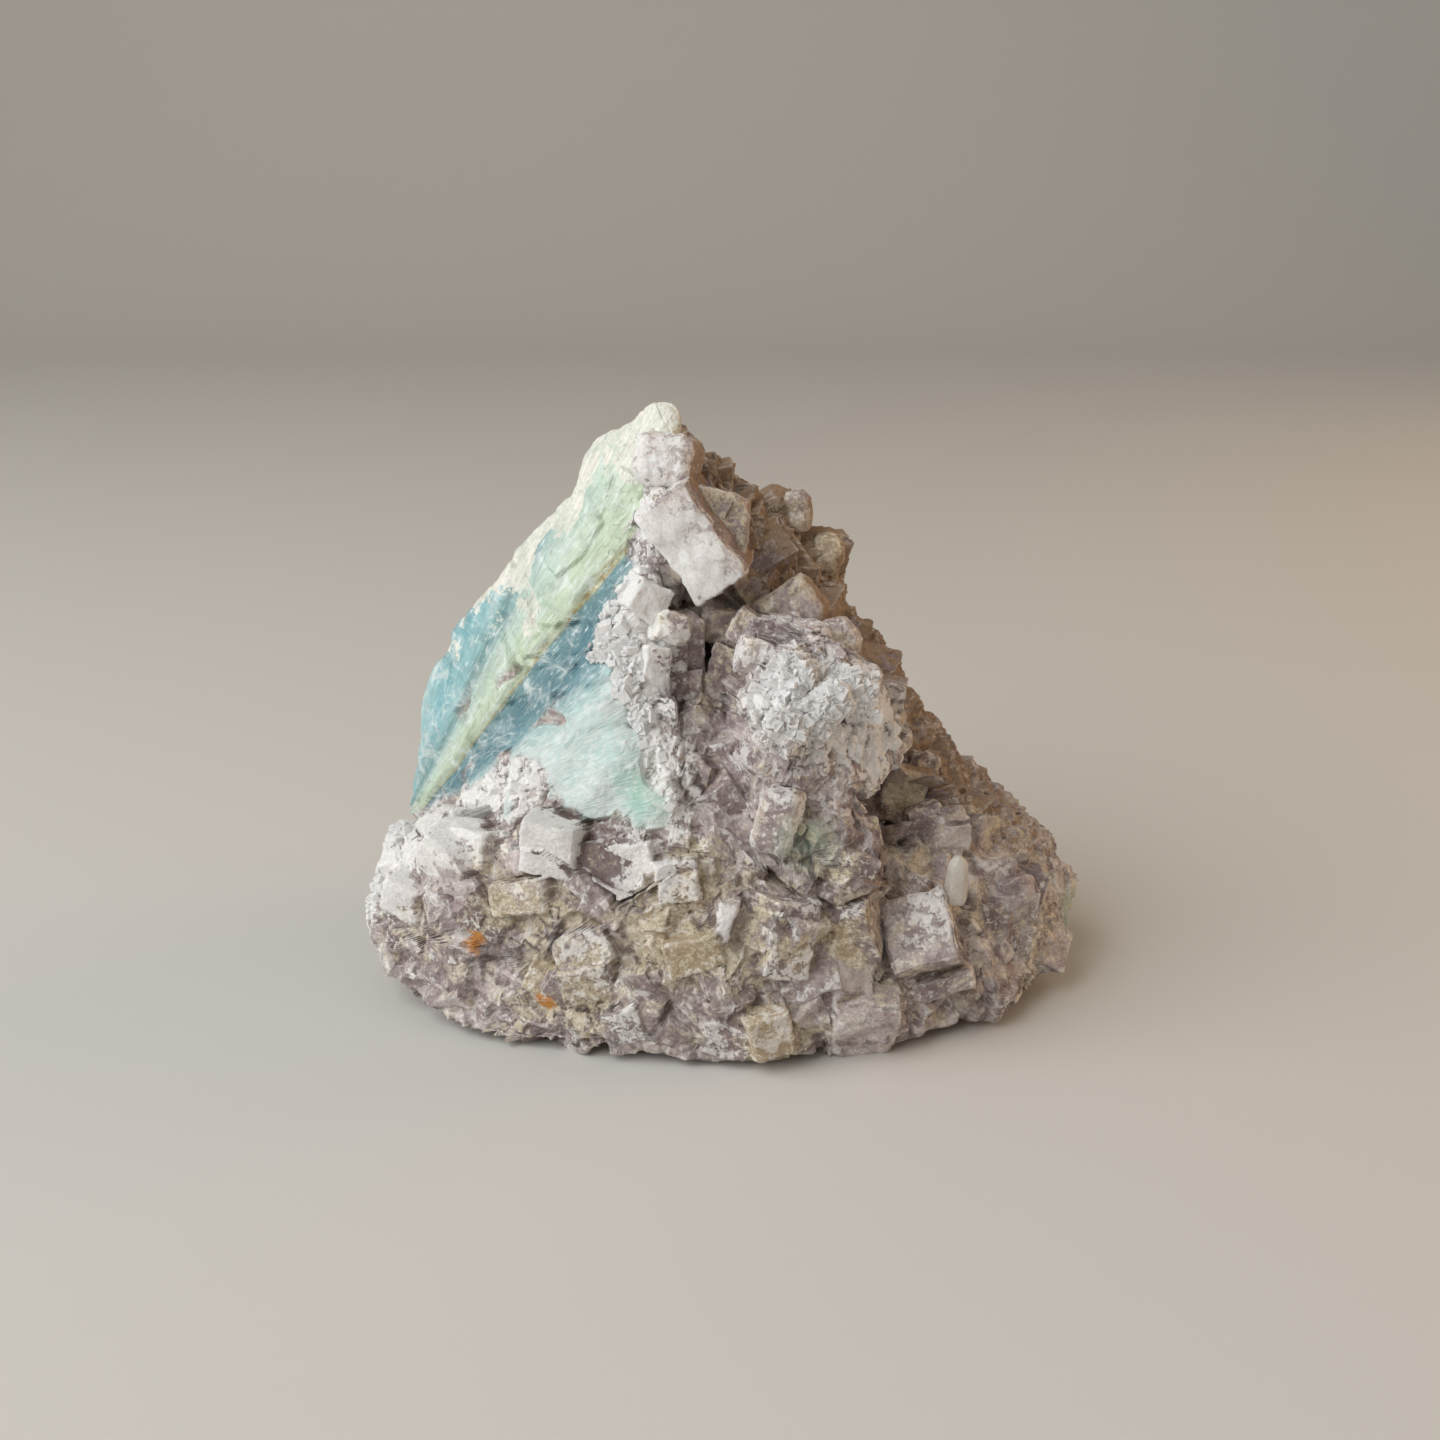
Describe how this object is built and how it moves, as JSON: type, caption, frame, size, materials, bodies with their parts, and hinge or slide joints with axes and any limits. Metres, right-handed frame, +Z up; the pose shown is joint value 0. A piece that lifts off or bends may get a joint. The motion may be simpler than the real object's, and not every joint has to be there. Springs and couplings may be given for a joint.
{
  "type": "fluorite specimen",
  "caption": "Free-standing natural fluorite specimen: a leaning broken wedge of banded green fluorite under a crust of intergrown lilac cubes, with a flat foot to rest on.",
  "frame": {"origin": "middle of the flat foot, on the surface that the stone rests on", "axes": "+Z up out of the foot, +X to the right along the longest side, -Y towards the viewer of the crystal-crusted show side; the broken banded face looks to -X and the bare broken back to +Y"},
  "size_m": [0.1527, 0.1132, 0.1187],
  "materials": {
    "fluorite": "translucent natural fluorite, banded pale green, olive and teal where broken, under a lilac-grey crust of cubes with white frosted edges and tan coatings"
  },
  "bodies": {
    "root": {"fluorite_specimen": "fluorite"}
  },
  "joints": []
}
